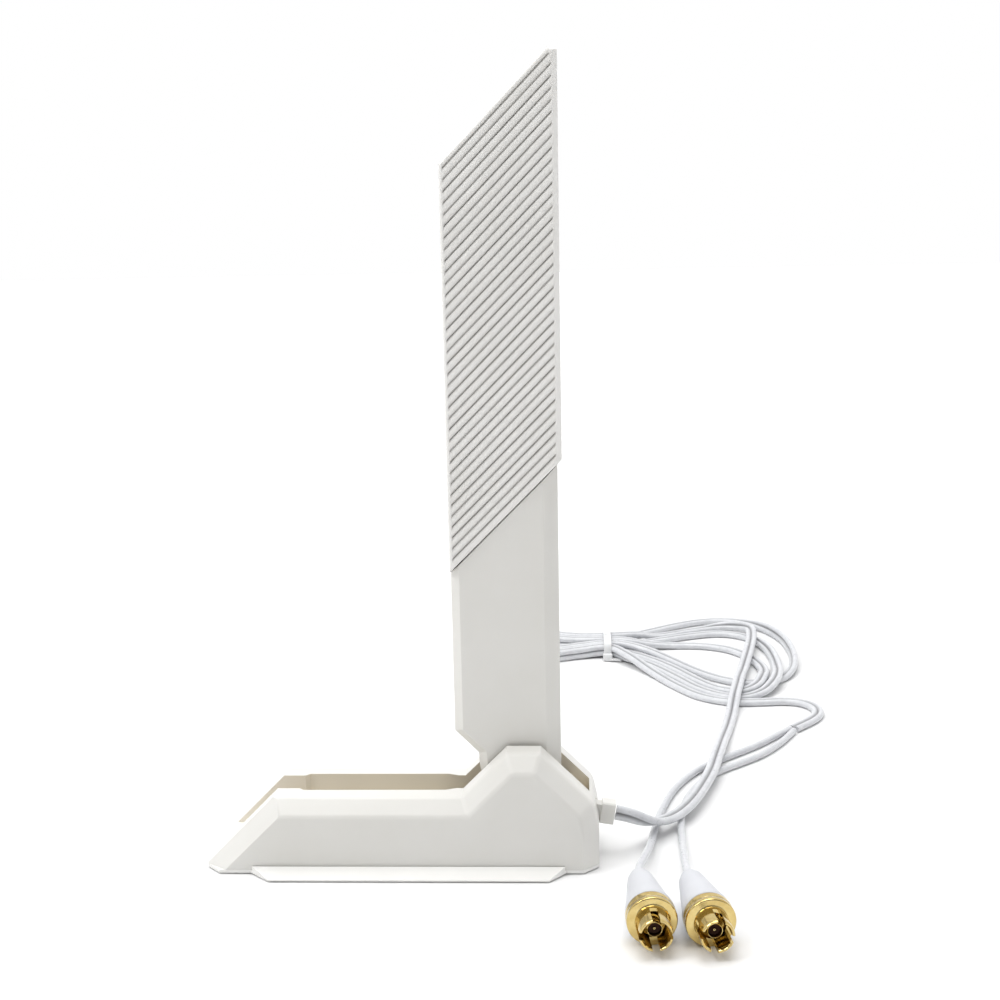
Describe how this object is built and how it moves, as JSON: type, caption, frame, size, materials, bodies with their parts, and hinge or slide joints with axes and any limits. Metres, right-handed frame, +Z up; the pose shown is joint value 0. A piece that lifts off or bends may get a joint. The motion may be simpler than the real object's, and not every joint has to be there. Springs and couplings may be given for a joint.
{
  "type": "folding desktop wifi antenna",
  "caption": "Tall flat ribbed blade antenna that folds into a low weighted base, with a twin coaxial lead tied in a hank and ending in two gold plug connectors.",
  "frame": {"origin": "middle of the base's footprint, at the underside of its rubber pads", "axes": "+Z up along the raised blade, +X along the base from its nose to the hinge and the lead, -Y the front"},
  "size_m": [0.1832, 0.2793, 0.2086],
  "materials": {
    "white_plastic": "satin",
    "ribbed_plastic": "satin",
    "cable_jacket": "gloss",
    "boot_rubber": "satin",
    "tie_plastic": "satin",
    "gold_plate": "polished",
    "dark_insulator": "satin",
    "steel": "zinc plated",
    "acetal": "satin",
    "grey_rubber": "matt",
    "circuit_board": "solder mask"
  },
  "bodies": {
    "base": {"base_shell": "white_plastic", "bottom_cover": "white_plastic", "rubber_pad_1": "grey_rubber", "rubber_pad_2": "grey_rubber", "rubber_pad_3": "grey_rubber", "rubber_pad_4": "grey_rubber", "base_screw_1": "steel", "base_screw_2": "steel", "base_screw_3": "steel", "base_screw_4": "steel", "ballast_plate": "steel", "ballast_bar_front": "steel", "ballast_bar_rear": "steel", "hinge_bush_front": "acetal", "hinge_bush_rear": "acetal", "wave_washer_front": "steel", "wave_washer_rear": "steel", "coax_in_base_front": "cable_jacket", "coax_in_base_rear": "cable_jacket", "strain_relief": "white_plastic", "lead_to_hank": "cable_jacket", "lead_from_hank": "cable_jacket", "core_left": "cable_jacket", "core_right": "cable_jacket", "lead_hank": "cable_jacket", "cable_tie": "tie_plastic", "boot_left": "boot_rubber", "crimp_ferrule_left": "gold_plate", "coupling_sleeve_left": "gold_plate", "inner_tube_left": "gold_plate", "insulator_left": "dark_insulator", "contact_left": "gold_plate", "boot_right": "boot_rubber", "crimp_ferrule_right": "gold_plate", "coupling_sleeve_right": "gold_plate", "inner_tube_right": "gold_plate", "insulator_right": "dark_insulator", "contact_right": "gold_plate"},
    "blade": {"stem_shell_front": "white_plastic", "stem_shell_rear": "white_plastic", "ribbed_cover_front": "ribbed_plastic", "ribbed_cover_rear": "ribbed_plastic", "antenna_board_lower": "circuit_board", "antenna_board_upper": "circuit_board", "coax_in_blade_front": "cable_jacket", "coax_in_blade_rear": "cable_jacket", "hinge_pin_front": "steel", "hinge_pin_rear": "steel"}
  },
  "joints": [
    {"name": "blade_hinge", "type": "hinge", "parent": "base", "child": "blade", "pos_m": [0.0325, 0, 0.026], "axis": [0, -1, 0], "range_deg": [0, 90]}
  ]
}
